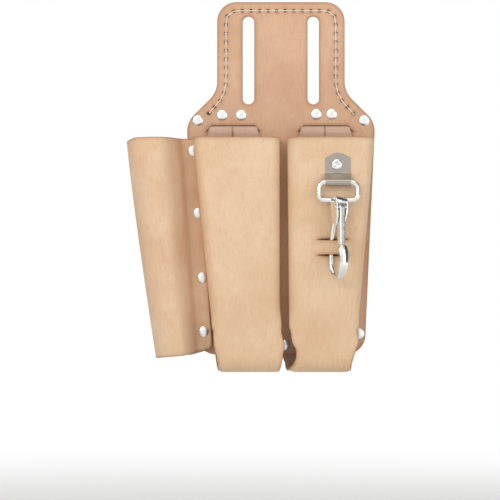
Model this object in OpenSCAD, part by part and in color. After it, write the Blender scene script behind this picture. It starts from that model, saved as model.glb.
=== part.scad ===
// Electrician's tool pouch: a leather back panel with a slotted belt tab,
// two pliers pockets, a screwdriver sleeve and a sprung snap hook.
// Millimetres. X is to the wearer's right as seen from the front, Z is up and
// the front faces -Y. The origin is midway between the belt slots, on the
// rearmost plane of the leather.

/* [Leather] */
// Thickness of the back panel
panel_t = 2.8; // [2.4:0.2:3.0]
// Thickness of the tab backing, the tongues and the bottom flaps
rear_t = 2.4; // [2.2:0.2:2.6]
// Thickness of the pocket and sleeve leather
pocket_t = 2.4; // [2.0:0.2:2.6]

/* [Belt tab] */
// Width of the belt tab
tab_w = 110; // [106:1:114]
// Height of the tab's top edge above the origin
tab_top = 50.3; // [48:0.5:54]
// Radius of the tab's top corners
tab_corner_r = 16.5; // [12:0.5:20]
// Width of each belt slot
slot_w = 10; // [8:0.5:12]
// Length of each belt slot, end to end
slot_len = 76; // [70:1:80]
// Distance of each slot's centre line from the middle
slot_x = 28; // [26:0.5:30]

/* [Panel] */
// Half of the panel's width at the shoulders
shoulder_half = 81; // [80:0.5:82]
// Half of the panel's width at the foot
foot_half = 73; // [72:0.5:74]
// Height of the panel's bottom edge
foot_z = -254; // [-254:0.1:-253]
// Radius of the panel's bottom corners
foot_r = 17; // [14:1:20]

/* [Pliers pockets] */
// How far the pockets stand out from the panel
pocket_depth = 24; // [23:0.5:24]
// Height of the pocket mouths
mouth_z = -67; // [-68:0.5:-66]
// Height at which the side walls end and the fold begins
gusset_z = -232; // [-234:1:-230]
// Lowest point of the folded bottoms
bottom_z = -268.8; // [-270:0.1:-268.5]
// How far the side walls lean in where they meet the panel
lean_in = 4.5; // [4:0.5:5]

/* [Screwdriver sleeve] */
// How far the sleeve stands out from the panel at its mouth
sleeve_depth = 41; // [39:1:45]
// How far it stands out at its foot
sleeve_foot_depth = 33; // [32:1:38]
// Height of the sleeve's mouth
sleeve_top = -68; // [-69:0.5:-67]
// Height of the sleeve's open foot
sleeve_foot = -255; // [-256:0.5:-252]

/* [Rivets] */
// Radius of the rivet caps
cap_r = 4.7; // [4.2:0.1:4.8]
// Height of the rivet caps
cap_h = 1.3; // [1:0.1:1.5]
// Radius of the rivet shanks
shank_r = 1.5; // [1.3:0.1:1.7]
// Radius of the washers under the rivets' rear ends
burr_r = 4.2; // [3.8:0.1:4.4]
// Thickness of those washers
burr_t = 0.8; // [0.6:0.1:0.9]

/* [Stitching] */
// Distance from one stitch to the next
stitch_pitch = 7.4; // [6.5:0.1:8]
// Distance of the seam from the tab's edge
stitch_inset = 7.6; // [7:0.1:9]
// Thickness of the thread
thread_d = 0.9; // [0.7:0.1:1.1]

/* [Snap hook] */
// X position of the snap's centre
snap_x = 48.5; // [48:0.1:49]
// Height of the bar that the snap hangs from
snap_z = -106.2; // [-107:0.1:-106]
// Width of the steel plate
plate_w = 21.8; // [20:0.2:22]
// Thickness of the plate
plate_t = 1.0; // [0.9:0.05:1.1]
// Outer width of the snap's loop
loop_w = 37.5; // [37:0.1:38]
// Outer height of the loop
loop_h = 19.7; // [19:0.1:20]
// Radius of the loop's bar
bar_r = 2.2; // [2.1:0.05:2.3]
// Angle by which the hook is turned about its own length
hook_turn = 32; // [30:1:34]
// Angle by which the snap leans out at its foot
hook_lean = 5.6; // [5.4:0.1:5.8]
// Width of the gate
gate_w = 5.2; // [5:0.1:5.4]
// Radius of the gate pin
pin_r = 1.2; // [1:0.1:1.3]

/* [Hidden] */
$fn = 64;

leather_light = "#dfbf98";
leather_mid = "#d2ac84";
leather_flesh = "#d3b09a";
nickel = "#d9d9d6";
steel = "#a9a39a";

eps = 0.02;
panel_front = -(rear_t + panel_t);        // front face of the panel
panel_back = -rear_t;                     // rear face of the panel
pocket_front = panel_front - pocket_depth; // outer face of the pocket fronts
fold_r = -pocket_front / 2;               // outer radius of the folded bottoms
fold_z = bottom_z + fold_r;               // height of the fold's centre
hole_r = shank_r + 0.05;                  // holes for the rivet shanks

// Rivet places, as [x, z]
tab_rivet_at = [[-50.8, -47.4], [-34.3, -47.4], [30.5, -46.6], [43.8, -46.6]];
shoulder_rivet_at = [[-72, -52], [72, -52]];
sleeve_rivet_at = [[-76, -78.5], [-71.4, -132], [-67.8, -187.6], [-66.8, -234.1]];
bottom_rivet_at = [[3.4, -246], [67.5, -236]];
plate_rivet_at = [snap_x - 1.1, -90.7];
centre_lap = [-3, 9.4];                   // where the two bottom flaps lap, in x

// ---------------------------------------------------------------- helpers

// Points on an arc about [cx, cz] from angle a0 to a1
function arc(cx, cz, r, a0, a1, n = 8) =
    [for (i = [0:n]) let (a = a0 + (a1 - a0) * i / n) [cx + r * cos(a), cz + r * sin(a)]];

function mirrored(points) = [for (i = [len(points) - 1:-1:0]) [-points[i][0], points[i][1]]];

function mix(a, b, t) = a + (b - a) * t;

// Point at t on the cubic curve with the four control points given
function bezier(p0, p1, p2, p3, t) =
    p0 * pow(1 - t, 3) + p1 * 3 * t * pow(1 - t, 2) + p2 * 3 * t * t * (1 - t) + p3 * pow(t, 3);

// Stands a flat shape up in the XZ plane, from y_back forward by t
module sheet(y_back, t) {
    translate([0, y_back, 0]) rotate([90, 0, 0]) linear_extrude(t) children();
}

// Runs a flat shape, drawn as [y, z], along X from x0 to x1
module run_x(x0, x1) {
    translate([x0, 0, 0]) rotate([90, 0, 90]) linear_extrude(x1 - x0) children();
}

// A cylinder along Y from y0 (rear) to y1 (front) at [x, z]
module along_y(at, r, y0, y1) {
    translate([at[0], y0, at[1]]) rotate([90, 0, 0]) cylinder(r = r, h = y0 - y1);
}

// Domed cap and shank of a rivet: the cap sits on the plane y_face
module rivet(at, y_face, y_end) {
    dome_r = (cap_r * cap_r + pow(cap_h - 0.5, 2)) / (2 * (cap_h - 0.5));
    dome = arc(0, cap_h - dome_r, dome_r, 90, 90 - asin(cap_r / dome_r), 6);
    translate([at[0], y_face, at[1]]) rotate([90, 0, 0])
        rotate_extrude() polygon(concat([[0, 0]], dome, [[cap_r, 0]]));
    along_y(at, shank_r, y_end, y_face);
}

// Washer round the end of a rivet's shank
module washer(at, y_rear) {
    difference() {
        along_y(at, burr_r, y_rear, y_rear - burr_t);
        along_y(at, shank_r + 0.02, y_rear + 1, y_rear - burr_t - 1);
    }
}

module rivet_holes(places, y0 = 1, y1 = -40) {
    for (p = places) along_y(p, hole_r, y0, y1);
}

// Recesses that sink the washers flush with the rearmost plane
module washer_seats(places) {
    for (p = places) along_y(p, burr_r + 0.1, 1, -burr_t);
}

// Closed solid over a loop of rings with as many points each: the rings go up
// the outside, over the rim, down the inside and back to the first
module ring_shell(rings) {
    n = len(rings[0]);
    m = len(rings);
    polyhedron(
        points = [for (ring = rings) for (p = ring) p],
        faces = [for (k = [0:m - 1]) for (j = [0:n - 1]) for (half = [0, 1])
            let (a = k * n + j, b = k * n + (j + 1) % n, c = ((k + 1) % m) * n + (j + 1) % n, d = ((k + 1) % m) * n + j)
            half == 0 ? [a, c, b] : [a, d, c]]
    );
}

// ------------------------------------------------------------ panel and tab

// Outline of the right half of the panel, from the top down
half_outline = concat(
    arc(tab_w / 2 - tab_corner_r, tab_top - tab_corner_r, tab_corner_r, 90, 0),
    arc(tab_w / 2 + 22, -18, 22, 180, 225),
    arc(shoulder_half - 20, -61.4, 20, 45, 0),
    arc(foot_half - foot_r, foot_z + foot_r, foot_r, 0, -90)
);

module panel_outline() {
    polygon(concat(half_outline, mirrored(half_outline)));
}

module belt_slots() {
    for (s = [-1, 1]) for (e = [-1, 1])
        translate([s * slot_x, e * (slot_len - slot_w) / 2]) circle(d = slot_w);
    for (s = [-1, 1])
        translate([s * slot_x - slot_w / 2, -(slot_len - slot_w) / 2]) square([slot_w, slot_len - slot_w]);
}

// Slit that a pocket's tongue passes through, x0 to x1 wide at its top edge
tongue_x = [[-59.5, -23], [19.8, 57.3]];
slit_top = -56.4;
slit_h = 5;

module slit(i, grow = 0) {
    x0 = tongue_x[i][0] - grow;
    x1 = tongue_x[i][1] + grow;
    polygon([
        [x0, slit_top + grow], [x1, slit_top + grow],
        [x1 + slit_h, slit_top - slit_h - grow], [x0 - slit_h, slit_top - slit_h - grow]
    ]);
}

// The part of a tongue that lies behind the panel
module tongue(i, grow = 0) {
    x0 = tongue_x[i][0] - 1 - grow;
    x1 = tongue_x[i][1] + 1 + grow;
    top = -40 + grow;
    polygon([
        [x0, slit_top - slit_h - grow], [x0, top - 4], [x0 + 4, top],
        [x1 - 4, top], [x1, top - 4], [x1, slit_top - slit_h - grow]
    ]);
}

module back_panel() {
    color(leather_mid) difference() {
        sheet(panel_back, panel_t) difference() {
            panel_outline();
            belt_slots();
            slit(0, 0.1);
            slit(1, 0.1);
        }
        rivet_holes(concat(tab_rivet_at, shoulder_rivet_at, sleeve_rivet_at, bottom_rivet_at));
    }
}

module tab_backing() {
    color(leather_mid) difference() {
        sheet(0, rear_t) difference() {
            intersection() {
                panel_outline();
                translate([-100, slit_top - slit_h - 0.4]) square([200, 200]);
            }
            belt_slots();
            for (i = [0, 1]) {
                tongue(i, 0.4);
                slit(i, 0.5);
            }
        }
        rivet_holes(shoulder_rivet_at);
        washer_seats(shoulder_rivet_at);
    }
}

// Seam round the tab: across the top, down both sides and out to the shoulders
seam_r = tab_corner_r - stitch_inset;
half_seam = concat(
    [[0, tab_top - stitch_inset]],
    arc(tab_w / 2 - tab_corner_r, tab_top - tab_corner_r, seam_r, 90, 0, 4),
    arc(tab_w / 2 + 22, -18, 22 + stitch_inset, 180, 225, 4),
    [[65.5, -49.3]]
);

function seam_length(p, k) = k == 0 ? 0 : seam_length(p, k - 1) + norm(p[k] - p[k - 1]);

// Point at distance s along the polyline p
function along(p, s, k = 1) =
    let (d = norm(p[k] - p[k - 1]))
    (s <= d || k == len(p) - 1) ? p[k - 1] + (p[k] - p[k - 1]) * s / d : along(p, s - d, k + 1);

module tab_stitching() {
    total = seam_length(half_seam, len(half_seam) - 1);
    count = floor(total / stitch_pitch);
    color("ivory") for (side = [-1, 1]) for (i = [0:count - 1]) {
        a = along(half_seam, i * stitch_pitch + 0.9);
        b = along(half_seam, (i + 1) * stitch_pitch - 0.9);
        d = b - a;
        translate([side * a[0], panel_front, a[1]])
            rotate([0, side > 0 ? -atan2(d[1], d[0]) : -atan2(d[1], -d[0]), 0])
            translate([0, -thread_d * 0.7, -thread_d / 2]) cube([norm(d), thread_d * 0.7, thread_d]);
    }
}

module tab_rivets() {
    color(nickel) for (p = tab_rivet_at) rivet(p, panel_front, 0);
}

module tab_rivet_washers() {
    color(nickel) for (p = tab_rivet_at) washer(p, 0);
}

module shoulder_rivets() {
    color(nickel) for (p = shoulder_rivet_at) rivet(p, panel_front, 0);
}

module shoulder_rivet_washers() {
    color(nickel) for (p = shoulder_rivet_at) washer(p, 0);
}

// ---------------------------------------------------------- pliers pockets

front_r = 8;                              // rounding of a pocket's front edges

// Outline of a pocket's wall in plan at height z, t inside its outer face, with
// its sides at xl and xr. Near the panel each side leans in by its own amount.
function pocket_ring(xl, xr, leans, z, t) =
    let (y0 = panel_front,
         yf = pocket_front + t,
         r = front_r - t)
    [for (v = concat(
        [[xl + leans[0] + t, y0 - t], [xl + leans[0] + t, y0 - 8], [xl + t, y0 - 14]],
        arc(xl + t + r, yf + r, r, 180, 270, 6),
        arc(xr - t - r, yf + r, r, 270, 360, 6),
        [[xr - t, y0 - 14], [xr - leans[1] - t, y0 - 8], [xr - leans[1] - t, y0 - t]]
    )) [v[0], v[1], z]];

// Wall of a pocket from its mouth down to where the fold begins
module pocket_wall(x_top, x_foot, leans) {
    ring_shell([for (t = [0, pocket_t]) for (k = t == 0 ? [0, 1] : [1, 0])
        pocket_ring(mix(x_foot[0], x_top[0], k), mix(x_foot[1], x_top[1], k), leans,
            mix(gusset_z, mouth_z, k), t)]);
}

// Cross-section of the folded bottom as [y, z], one quarter of the bend
module bend_quarter(rear) {
    intersection() {
        translate([-fold_r, fold_z]) difference() {
            circle(r = fold_r);
            circle(r = fold_r - pocket_t);
        }
        translate([rear ? -fold_r : -2 * fold_r - 1, bottom_z - 1]) square([fold_r + 1, fold_r + 1]);
    }
}

// Top of the pocket's back wall, and the tongue that runs on through the slit
module pocket_tongue(i) {
    x0 = tongue_x[i][0] - slit_h;
    x1 = tongue_x[i][1] + slit_h;
    sheet(0, -panel_front + pocket_t) slit(i);
    sheet(panel_front, pocket_t) translate([x0, mouth_z]) square([x1 - x0, slit_top - slit_h - mouth_z]);
    sheet(0, rear_t - 0.05) tongue(i);
}

// x_top, x_foot: [left, right] edges at the mouth and where the fold begins.
// front: outline of the front below the side walls. flap: outline of the part
// folded up behind the panel. fold_x: [left, right] of the bend, front and rear.
module pliers_pocket(i, x_top, x_foot, leans, front, flap, fold_front, fold_rear) {
    pocket_wall(x_top, x_foot, leans);
    sheet(pocket_front + pocket_t, pocket_t) polygon(front);
    run_x(fold_front[0], fold_front[1]) bend_quarter(false);
    run_x(fold_rear[0], fold_rear[1]) bend_quarter(true);
    sheet(0, rear_t - 0.05) polygon(flap);
    pocket_tongue(i);
}

lap_low = -252.5;                         // the lap of the two flaps, in z
lap_high = -239.5;

module left_pliers_pocket() {
    color(leather_light) difference() {
        union() {
            pliers_pocket(
                0, [-75.7, -1.2], [-59.2, -1.2], [lean_in, 1.5],
                [[-59.2, gusset_z], [-57.6, -245.5], [-55.6, fold_z], [1.6, fold_z],
                    [2.6, -246], [2.4, gusset_z]],
                [[-55, fold_z], [-70, -242], [-70, -226], [-66, -222], [-7.5, -222],
                    [centre_lap[0] - 0.3, -226], [centre_lap[0] - 0.3, fold_z]],
                [-54, 0.5], [-54, -3.3]
            );
            sheet(-rear_t / 2 - 0.05, rear_t / 2 - 0.1) translate([centre_lap[0] - 2, lap_low])
                square([centre_lap[1] - centre_lap[0] + 2, lap_high - lap_low]);
        }
        rivet_holes([tab_rivet_at[0], tab_rivet_at[1], sleeve_rivet_at[3], bottom_rivet_at[0]], 1, panel_back - 1);
        washer_seats([tab_rivet_at[0], tab_rivet_at[1], sleeve_rivet_at[3], bottom_rivet_at[0]]);
    }
}

// Window in the right pocket's front, bridged by the keeper strap
strap_x = [31, 57.6];
strap_z = [-168.1, -154.8];

module right_pliers_pocket() {
    color(leather_light) difference() {
        pliers_pocket(
            1, [5.2, 80], [6.9, 66], [1.5, lean_in],
            concat([[6.9, gusset_z]], arc(2, -252, 11, 45, 0, 5),
                [[12.8, fold_z], [62.5, fold_z], [66.8, -242], [66, gusset_z]]),
            [[3.5, fold_z], [60, fold_z], [70, -240], [70, -226], [66, -222], [1, -222],
                [centre_lap[0], -226], [centre_lap[0], -250.5]],
            [8, 60], [3.5, 60]
        );
        translate([strap_x[0], pocket_front - 5, strap_z[0]])
            cube([strap_x[1] - strap_x[0], 10, strap_z[1] - strap_z[0]]);
        sheet(-rear_t / 2, rear_t) translate([centre_lap[0] - 1, lap_low - 0.2])
            square([centre_lap[1] - centre_lap[0] + 1.2, lap_high - lap_low + 0.4]);
        rivet_holes([tab_rivet_at[2], tab_rivet_at[3], bottom_rivet_at[0], bottom_rivet_at[1]], 1, panel_back - 1);
        washer_seats([tab_rivet_at[2], tab_rivet_at[3], bottom_rivet_at[0], bottom_rivet_at[1]]);
        along_y(plate_rivet_at, hole_r, pocket_front + 5, pocket_front - 5);
    }
}

// Strap left standing between two cuts in the right pocket's front: the snap's
// shank lies behind it, so it bows out
strap_rise = 8;

module keeper_strap() {
    half = (strap_x[1] - strap_x[0]) / 2;
    bow_r = (half * half + strap_rise * strap_rise) / (2 * strap_rise);
    color(leather_light) intersection() {
        translate([strap_x[0] + half, pocket_front - strap_rise + bow_r, strap_z[0] + eps])
            linear_extrude(strap_z[1] - strap_z[0] - 2 * eps) difference() {
                circle(r = bow_r);
                circle(r = bow_r - pocket_t + 0.2);
            }
        translate([strap_x[0] + eps, pocket_front - 10, strap_z[0]])
            cube([2 * half - 2 * eps, 10 + pocket_t + 2, strap_z[1] - strap_z[0]]);
    }
}

// ------------------------------------------------------- screwdriver sleeve

flap_rise = 2 * pocket_t;                 // the two layers under the rivets
sleeve_rows = 6;

// Left side of the sleeve, and the edge of its flap, at height z
function sleeve_left(z) = mix(-132.4, -107.5, pow((sleeve_top - z) / (sleeve_top - sleeve_foot), 1.15));
function sleeve_edge(z) = mix(-71.8, -58.6, (sleeve_top - z) / (sleeve_top - sleeve_foot));

// Outline of the sleeve in plan at height z, t inside its outer face: along
// the back, round the left side and over the front to the flap
function sleeve_ring(z, t) =
    let (xl = sleeve_left(z) + t,
         xe = t > 0 ? sleeve_edge(z) - 17 : sleeve_edge(z),
         yb = panel_front - t,
         yf = t > 0 ? yb - 0.3 : yb - flap_rise,
         down = (sleeve_top - z) / (sleeve_top - sleeve_foot),
         y1 = panel_front - mix(sleeve_depth, sleeve_foot_depth, down) + t,
         xm = mix(xl, xe, 0.44) - 2,
         ym = mix(yb, y1, 0.52),
         xf = t > 0 ? xe - 1 : xe - 14,
         w = xe - xl)
    [for (v = concat(
        [[xe, yb], [xl + 0.62 * w, yb], [xl + 0.45 * w, yb]],
        [for (k = [0:7]) bezier([xl + 0.34 * w, yb], [xl + 0.12 * w, yb], [xl, mix(yb, ym, 0.35)], [xl, ym], k / 8)],
        [for (k = [0:7]) bezier([xl, ym], [xl, mix(ym, y1, 0.6)], [mix(xl, xm, 0.35), y1], [xm, y1], k / 8)],
        [for (k = [0:8]) bezier([xm, y1], [mix(xm, xf, 0.7), y1], [mix(xf, xm, 0.3), yf], [xf, yf], k / 8)],
        [[xe, yf]]
    )) [v[0], v[1], z]];

module screwdriver_sleeve() {
    color(leather_light) difference() {
        ring_shell([for (t = [0, pocket_t]) for (k = [0:sleeve_rows])
            sleeve_ring(mix(sleeve_foot, sleeve_top, (t == 0 ? k : sleeve_rows - k) / sleeve_rows), t)]);
        rivet_holes(sleeve_rivet_at, panel_front + 1, panel_front - 10);
    }
}

module sleeve_rivets() {
    color(nickel) {
        for (i = [0:2]) rivet(sleeve_rivet_at[i], panel_front - flap_rise, panel_back + burr_t);
        rivet(sleeve_rivet_at[3], panel_front - flap_rise, 0);
    }
}

module sleeve_rivet_washers() {
    color(nickel) {
        for (i = [0:2]) washer(sleeve_rivet_at[i], panel_back + burr_t);
        washer(sleeve_rivet_at[3], 0);
    }
}

module bottom_rivets() {
    color(nickel) for (p = bottom_rivet_at) rivet(p, panel_front, 0);
}

module bottom_rivet_washers() {
    color(nickel) for (p = bottom_rivet_at) washer(p, 0);
}

// ---------------------------------------------------------------- snap hook

roll_in = bar_r + 0.06;                   // bore of the plate's roll round the bar
roll_out = roll_in + plate_t;
pivot = [snap_x, pocket_front - 6.4, snap_z];
plate_bend_z = -97.8;                     // where the plate turns forward
plate_top = -80.7;

// Side view of the plate as [y, z]: flat on the leather, then forward and
// rolled round the bar
module plate_side() {
    a = [pocket_front - plate_t / 2, plate_bend_z];
    c = [pivot[1], pivot[2]];
    d = norm(c - a);
    mid = roll_in + plate_t / 2;
    dir = atan2(c[1] - a[1], c[0] - a[0]) - asin(mid / d);
    translate([pocket_front - plate_t, plate_bend_z]) square([plate_t, plate_top - plate_bend_z]);
    translate(a) rotate(dir) translate([0, -plate_t / 2]) square([sqrt(d * d - mid * mid), plate_t]);
    translate(a) circle(d = plate_t, $fn = 24);
    translate(c) circle(r = roll_out);
}

module snap_plate() {
    half = plate_w / 2;
    color(steel) difference() {
        intersection() {
            run_x(snap_x - half, snap_x + half) difference() {
                plate_side();
                translate([pivot[1], pivot[2]]) circle(r = roll_in);
            }
            sheet(0, 60) translate([snap_x, 0]) polygon(concat(
                [[half, -120], [half, plate_top - 6.5]],
                arc(0, plate_top - 12, 12, 50, 130, 10),
                [[-half, plate_top - 6.5], [-half, -120]]
            ));
        }
        along_y(plate_rivet_at, hole_r, 0, pocket_front - 5);
    }
}

// Tubular rivet with a dimple in its rolled head
module plate_rivet() {
    color(nickel) translate([plate_rivet_at[0], pocket_front - plate_t, plate_rivet_at[1]])
        rotate([90, 0, 0]) {
            difference() {
                rotate_extrude() polygon(concat([[0, 0], [0, 1.1], [2.2, 1.1]],
                    arc(3.3, 0, 1.6, 120, 0, 8)));
                translate([0, 0, 0.5]) cylinder(r = 1.7, h = 2);
            }
            translate([0, 0, -pocket_t - plate_t - burr_t]) cylinder(r = shank_r, h = pocket_t + plate_t + burr_t);
        }
}

module plate_rivet_washer() {
    color(nickel) washer(plate_rivet_at, pocket_front + pocket_t + burr_t);
}

// The snap hangs from the pivot, leaning out at its foot
module snap_frame() {
    translate(pivot) rotate([-hook_lean, 0, 0]) children();
}

// The hook's own frame: -Y is towards the nose, Z is up
module hook_frame() {
    snap_frame() rotate([0, 0, hook_turn]) children();
}

bend_r = 5;                               // corner radius of the loop, on its centre line
loop_cx = loop_w / 2 - bar_r;             // centre line's half width
loop_low = -(loop_h - 2 * bar_r);         // height of the loop's lower bar

module loop_bar(a, b) {
    d = b - a;
    translate([a[0], 0, a[1]]) rotate([0, atan2(d[0], d[1]), 0]) cylinder(r = bar_r, h = norm(d));
}

module loop_corner(at, turn) {
    translate([at[0], 0, at[1]]) rotate([90, 0, 0]) rotate([0, 0, turn])
        rotate_extrude(angle = 90) translate([bend_r, 0]) circle(r = bar_r);
}

module loop_ring() {
    xi = loop_cx - bend_r;
    loop_bar([-xi, 0], [xi, 0]);
    loop_bar([-xi, loop_low], [xi, loop_low]);
    for (s = [-1, 1]) loop_bar([s * loop_cx, loop_low + bend_r], [s * loop_cx, -bend_r]);
    loop_corner([xi, -bend_r], 0);
    loop_corner([-xi, -bend_r], 90);
    loop_corner([-xi, loop_low + bend_r], 180);
    loop_corner([xi, loop_low + bend_r], 270);
}

// Hook's centre line as [u, v]: u forward from the pivot, v down from it
shank_top = [-1, 16];
shank_foot = [-11.2, 60];
bow_c = [-1.3, 66];
bow_u = 9.9;
bow_v = 15.4;
hook_line = concat(
    [for (k = [0:9]) bezier(shank_top, [-2.5, 30], [-11.4, 42], shank_foot, k / 10)],
    [shank_foot],
    [for (k = [1:15]) [bow_c[0] - bow_u * cos(180 * k / 16), bow_c[1] + bow_v * sin(180 * k / 16)]],
    [[8.5, 64], [8.3, 60.5], [8.0, 57.5], [7.8, 55.2], [7.7, 54.2]]
);
// Half thickness of the bar in the hook's plane and across it, along the line
function hook_half(k) =
    k < 11 ? [1.9, 2.1] :
    k < 19 ? [mix(1.9, 2.6, (k - 11) / 8), mix(2.1, 2.8, (k - 11) / 8)] :
    k < 27 ? [2.6, mix(2.8, 4.2, (k - 19) / 8)] :
    [[2.5, 4.4], [2.3, 4.1], [2.1, 3.6], [1.8, 2.9], [1.2, 2.0]][k - 26];

// Solid swept along the hook's centre line, on 14-sided oval sections
module hook_sweep() {
    sides = 14;
    m = len(hook_line);
    points = [for (k = [0:m - 1])
        let (d = hook_line[min(k + 1, m - 1)] - hook_line[max(k - 1, 0)],
             t = d / norm(d),
             q = hook_half(k))
        for (j = [0:sides - 1])
            let (u = hook_line[k][0] - t[1] * q[0] * cos(360 * j / sides),
                 v = hook_line[k][1] + t[0] * q[0] * cos(360 * j / sides))
            [q[1] * sin(360 * j / sides), -u, -v]];
    polyhedron(
        points = points,
        faces = concat(
            [[for (j = [0:sides - 1]) j]],
            [for (k = [0:m - 2]) for (j = [0:sides - 1]) for (half = [0, 1])
                let (a = k * sides + j, b = k * sides + (j + 1) % sides, c = b + sides, e = a + sides)
                half == 0 ? [a, c, b] : [a, e, c]],
            [[for (j = [sides - 1:-1:0]) (m - 1) * sides + j]]
        )
    );
}

gate_pivot = [4.4, 21.5];                 // [u, v] of the gate pin
gate_tip = 53.4;                          // v of the gate's lower end
cheek_in = gate_w / 2 + 0.3;
cheek_t = 1.6;

// Extrudes a flat shape, drawn as [u, -v], across the hook from n0 to n1
module across(n0, n1) {
    translate([n0, 0, 0]) rotate([90, 0, -90]) mirror([0, 0, 1]) linear_extrude(n1 - n0) children();
}

module cheek_shape() {
    difference() {
        polygon(concat([[-3.2, -14], [-3.4, -24], [-3.9, -31], [-1.8, -33]],
            arc(gate_pivot[0], -gate_pivot[1] - 2, 3.4, -60, 60, 6), [[4.5, -14]]));
        translate([gate_pivot[0], -gate_pivot[1]]) circle(r = pin_r);
    }
}

module snap_body() {
    color(nickel) {
        snap_frame() loop_ring();
        hook_frame() {
            for (s = [-1, 1])
                across(s > 0 ? cheek_in : -cheek_in - cheek_t, s > 0 ? cheek_in + cheek_t : -cheek_in)
                    cheek_shape();
            across(-cheek_in - eps, cheek_in + eps)
                polygon([[-3.2, -14], [-3.4, -24], [-2.4, -24], [-0.5, -18.4], [4.5, -18.4], [4.5, -14]]);
            hook_sweep();
        }
    }
}

// Sheet-steel gate: a channel open to the rear, with a rounded top end
module gate() {
    wall = 0.7;
    end_r = 2.4;
    u = gate_pivot[0];
    v = gate_pivot[1];
    color(nickel) hook_frame() difference() {
        across(-gate_w / 2, gate_w / 2) difference() {
            polygon(concat(arc(u, -v, end_r, 0, 180, 12),
                [[u - end_r + 0.2, 4 - gate_tip], [u - 1, -gate_tip], [u + end_r, -gate_tip]]));
            translate([u, -v]) circle(r = pin_r + 0.05);
        }
        across(-gate_w / 2 + wall, gate_w / 2 - wall)
            polygon(concat(arc(u, -v, end_r - wall, 0, 180, 12),
                [[u - end_r - 2, -v], [u - end_r - 2, 1.5 - gate_tip], [u + end_r - wall, 1.5 - gate_tip]]));
    }
}

module gate_pin() {
    color(nickel) hook_frame()
        across(-cheek_in - cheek_t - 0.4, cheek_in + cheek_t + 0.4)
            translate([gate_pivot[0], -gate_pivot[1]]) circle(r = pin_r - 0.01);
}

// Torsion spring round the pin: its coils, and a leg lying down the gate
module gate_spring() {
    wire = 0.5;
    coil_r = 0.36;
    color(steel) hook_frame() {
        for (k = [-2:2])
            translate([k * wire * 1.25, 0, 0]) across(-wire / 2, wire / 2)
                translate([gate_pivot[0], -gate_pivot[1]]) difference() {
                    circle(r = pin_r + 0.06 + coil_r);
                    circle(r = pin_r + 0.06);
                }
        across(-wire * 3, wire * 3) translate([gate_pivot[0] + 1.05, -gate_pivot[1] - 12])
            square([0.35, 11.2]);
    }
}

back_panel();
tab_backing();
tab_stitching();
tab_rivets();
tab_rivet_washers();
shoulder_rivets();
shoulder_rivet_washers();
left_pliers_pocket();
right_pliers_pocket();
keeper_strap();
screwdriver_sleeve();
sleeve_rivets();
sleeve_rivet_washers();
bottom_rivets();
bottom_rivet_washers();
snap_plate();
plate_rivet();
plate_rivet_washer();
snap_body();
gate();
gate_pin();
gate_spring();
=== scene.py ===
import math

import bpy
import numpy as np
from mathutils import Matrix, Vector
from mathutils.geometry import delaunay_2d_cdt


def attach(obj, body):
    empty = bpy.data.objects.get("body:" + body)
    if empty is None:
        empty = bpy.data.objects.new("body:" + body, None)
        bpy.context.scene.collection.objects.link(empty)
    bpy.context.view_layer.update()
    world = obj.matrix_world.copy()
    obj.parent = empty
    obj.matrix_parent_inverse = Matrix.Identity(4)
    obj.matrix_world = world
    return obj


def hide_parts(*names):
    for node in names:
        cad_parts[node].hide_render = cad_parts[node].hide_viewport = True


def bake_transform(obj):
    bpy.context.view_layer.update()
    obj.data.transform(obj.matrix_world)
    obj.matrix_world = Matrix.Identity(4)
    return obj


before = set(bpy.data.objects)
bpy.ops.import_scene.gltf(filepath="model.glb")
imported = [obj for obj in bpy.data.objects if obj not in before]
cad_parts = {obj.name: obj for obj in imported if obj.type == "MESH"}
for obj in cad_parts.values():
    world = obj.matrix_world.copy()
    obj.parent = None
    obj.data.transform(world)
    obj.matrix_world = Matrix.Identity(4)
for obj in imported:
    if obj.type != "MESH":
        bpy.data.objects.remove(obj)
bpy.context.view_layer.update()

# ---------------------------------------------------------------- back panel
# The panel that carries everything: one piece of vegetable-tanned cowhide, 2.7 mm
# thick, cut with a belt tab on top, two belt slots, a slit for the tongue of each
# pliers pocket and a row of awl holes for the seam. All sizes are in millimetres.


def arc(cx, cz, r, start, end, n=14):
    """Points at equal angles on the circle of radius r about (cx, cz)."""
    a = np.radians(np.linspace(start, end, n))
    return np.stack([cx + r * np.cos(a), cz + r * np.sin(a)], 1)


def mirror(points):
    """The outline on the other side of x = 0, in reverse order so that it still runs on."""
    return points[::-1] * [-1, 1]


def ease(t):
    """3t² - 2t³ between 0 and 1, and level beyond them."""
    t = np.clip(t, 0, 1)
    return t * t * (3 - 2 * t)


def ripple(u, v, seed):
    """Sum of five sine waves of 25 to 90 mm in seeded directions, between -1 and 1."""
    rng = np.random.default_rng(seed)
    total = 0
    for length in (90, 62, 47, 34, 25):
        turn, phase = rng.uniform(0, 2 * math.pi, 2)
        total = total + np.sin((u * math.cos(turn) + v * math.sin(turn)) * 2 * math.pi / length + phase)
    return total / 5


def subdivided(loop, step):
    """The closed loop with each side cut into equal lengths of at most step."""
    a, b = loop, np.roll(loop, -1, 0)
    count = np.maximum(1, np.ceil(np.linalg.norm(b - a, axis=1) / step)).astype(int)
    side = np.repeat(np.arange(len(a)), count)
    t = (np.arange(len(side)) - np.repeat(np.cumsum(count) - count, count)) / count[side]
    return a[side] * (1 - t[:, None]) + b[side] * t[:, None]


def turned(loop, anticlockwise):
    """The loop in the wanted direction, from the sign of its area."""
    area = (loop[:, 0] * np.roll(loop[:, 1], -1) - loop[:, 1] * np.roll(loop[:, 0], -1)).sum()
    return loop if (area > 0) == anticlockwise else loop[::-1]


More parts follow.
